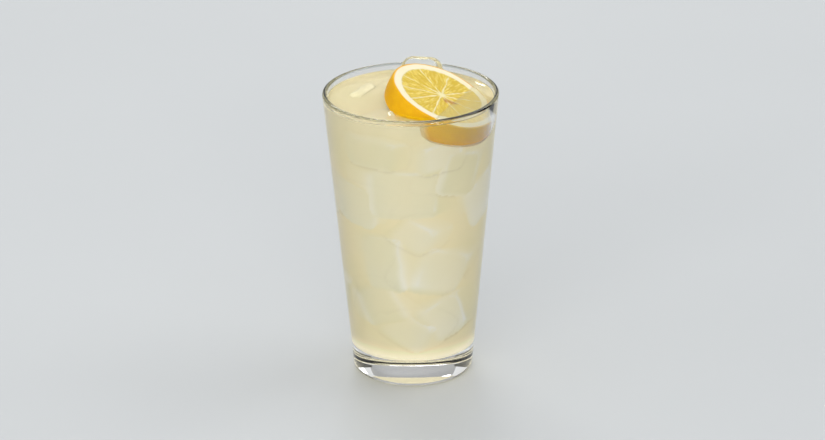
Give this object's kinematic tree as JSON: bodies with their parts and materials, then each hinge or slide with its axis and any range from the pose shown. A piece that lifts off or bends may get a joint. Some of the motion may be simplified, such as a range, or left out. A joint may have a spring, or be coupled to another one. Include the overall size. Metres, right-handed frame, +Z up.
{
  "type": "glass of lemonade",
  "caption": "Conical tumbler filled with cloudy pale lemonade, a lemon slice leaning at the rim and ice at the surface.",
  "frame": {"origin": "middle of the base on the plane that the glass stands on", "axes": "+Z up the axis of the glass, +X to the right and +Y away from the side shown, the lemon slice leaning to +X"},
  "size_m": [0.0886, 0.0886, 0.1607],
  "materials": {
    "glass": "clear polished soda-lime glass",
    "lemonade": "cloudy pale yellow liquid, smooth surface",
    "lemon": "waxy yellow rind, pale pith, wet yellow flesh",
    "ice": "clear ice with melted edges"
  },
  "bodies": {
    "root": {"glass": "glass", "lemonade": "lemonade", "lemon_slice": "lemon", "ice_back": "ice", "ice_left": "ice"}
  },
  "joints": []
}
